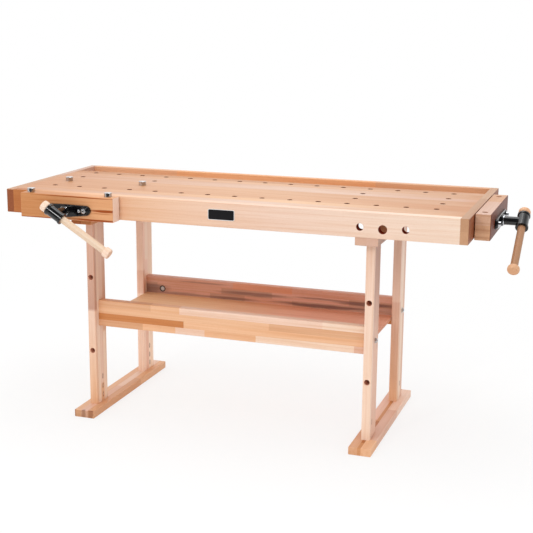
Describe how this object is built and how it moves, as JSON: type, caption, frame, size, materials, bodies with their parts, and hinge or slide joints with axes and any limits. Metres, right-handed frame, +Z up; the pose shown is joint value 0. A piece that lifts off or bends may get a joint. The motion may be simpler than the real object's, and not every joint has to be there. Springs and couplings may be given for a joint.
{
  "type": "woodworking bench with vises",
  "caption": "Beech joiner's bench with a front vise, a tail vise, rows of dog holes, steel bench dogs, a tool tray behind the top and a low shelf between the leg frames.",
  "frame": {"origin": "on the floor, under the middle of the whole bench with both vises closed and their handles at rest", "axes": "+X along the top, from the front vise's end to the tail vise; -Y to the front, where the user stands; +Z up"},
  "size_m": [1.8554, 0.8355, 0.865],
  "materials": {
    "top_beech": "oiled beech, planed",
    "frame_beech": "oiled beech, planed",
    "rail_beech": "oiled beech, finger-jointed",
    "jaw_beech": "oiled steamed beech",
    "handle_beech": "turned beech, oiled",
    "vise_iron": "gloss black enamel on cast iron",
    "bright_steel": "turned, bright",
    "zinc_steel": "zinc plated",
    "dark_steel": "as cast",
    "plate_black": "gloss black",
    "plate_rim": "satin"
  },
  "bodies": {
    "bench": {"worktop_slab": "top_beech", "front_apron": "top_beech", "end_cap_left": "top_beech", "end_cap_right": "top_beech", "back_rail": "top_beech", "tray_inner_rail": "top_beech", "tray_floor": "top_beech", "tray_cleats": "top_beech", "foot_left": "frame_beech", "foot_right": "frame_beech", "bearer_left": "frame_beech", "bearer_right": "frame_beech", "post_front_left": "frame_beech", "post_front_right": "frame_beech", "post_rear_left": "frame_beech", "post_rear_right": "frame_beech", "shelf_rail_front": "rail_beech", "shelf_rail_rear": "rail_beech", "shelf_board": "rail_beech", "shelf_cleats": "rail_beech", "front_vise_carrier": "vise_iron", "tail_vise_carrier": "vise_iron", "front_spindle_nut": "dark_steel", "tail_spindle_nut": "dark_steel", "front_carrier_screws": "zinc_steel", "tail_carrier_screws": "zinc_steel", "rail_bolts": "zinc_steel", "rail_washers": "zinc_steel", "barrel_nuts": "dark_steel", "bearer_screws": "zinc_steel", "name_plate": "plate_black", "name_plate_rim": "plate_rim"},
    "front_jaw": {"front_jaw": "jaw_beech", "front_jaw_plate": "vise_iron", "front_guide_rods": "bright_steel", "front_guide_bolts": "zinc_steel", "front_plate_screws": "zinc_steel"},
    "front_screw": {"front_spindle": "bright_steel", "front_spindle_head": "vise_iron", "front_thrust_washer": "zinc_steel", "front_retaining_collar": "zinc_steel"},
    "front_handle": {"front_handle_bar": "handle_beech", "front_handle_knobs": "handle_beech"},
    "tail_jaw": {"tail_jaw": "jaw_beech", "tail_jaw_plate": "vise_iron", "tail_guide_rods": "bright_steel", "tail_guide_bolts": "zinc_steel", "tail_plate_screws": "zinc_steel"},
    "tail_screw": {"tail_spindle": "bright_steel", "tail_spindle_head": "vise_iron", "tail_thrust_washer": "zinc_steel", "tail_retaining_collar": "zinc_steel"},
    "tail_handle": {"tail_handle_bar": "handle_beech", "tail_handle_knobs": "handle_beech"},
    "top_dog_left": {"top_dog_left": "bright_steel"},
    "top_dog_right": {"top_dog_right": "bright_steel"},
    "jaw_dog_left": {"jaw_dog_left": "bright_steel"},
    "jaw_dog_right": {"jaw_dog_right": "bright_steel"}
  },
  "joints": [
    {"name": "front_jaw_slide", "type": "slide", "parent": "bench", "child": "front_jaw", "axis": [0, -1, 0], "range_m": [-0.0024, 0.15]},
    {"name": "front_screw_turn", "type": "hinge", "parent": "front_jaw", "child": "front_screw", "pos_m": [-0.6518, -0.31675, 0.796], "axis": [0, -1, 0], "range_deg": [-172, 10800]},
    {"name": "front_handle_slide", "type": "slide", "parent": "front_screw", "child": "front_handle", "axis": [-0.848, 0, 0.5299], "range_m": [0, 0.189]},
    {"name": "tail_jaw_slide", "type": "slide", "parent": "bench", "child": "tail_jaw", "axis": [1, 0, 0], "range_m": [-0.0024, 0.15]},
    {"name": "tail_screw_turn", "type": "hinge", "parent": "tail_jaw", "child": "tail_screw", "pos_m": [0.82675, 0.05325, 0.796], "axis": [1, 0, 0], "range_deg": [-172, 10800]},
    {"name": "tail_handle_slide", "type": "slide", "parent": "tail_screw", "child": "tail_handle", "axis": [0, 0.848, 0.5299], "range_m": [0, 0.189]},
    {"name": "top_dog_left_lift", "type": "slide", "parent": "bench", "child": "top_dog_left", "axis": [0, 0, 1], "range_m": [0, 0.06]},
    {"name": "top_dog_right_lift", "type": "slide", "parent": "bench", "child": "top_dog_right", "axis": [0, 0, 1], "range_m": [0, 0.06]},
    {"name": "jaw_dog_left_lift", "type": "slide", "parent": "front_jaw", "child": "jaw_dog_left", "axis": [0, 0, 1], "range_m": [0, 0.06]},
    {"name": "jaw_dog_right_lift", "type": "slide", "parent": "front_jaw", "child": "jaw_dog_right", "axis": [0, 0, 1], "range_m": [0, 0.06]}
  ],
  "couplings": [
    {"joint": "front_jaw_slide", "follows": "front_screw_turn", "m_per_rad": 0.00079577},
    {"joint": "tail_jaw_slide", "follows": "tail_screw_turn", "m_per_rad": 0.00079577}
  ]
}
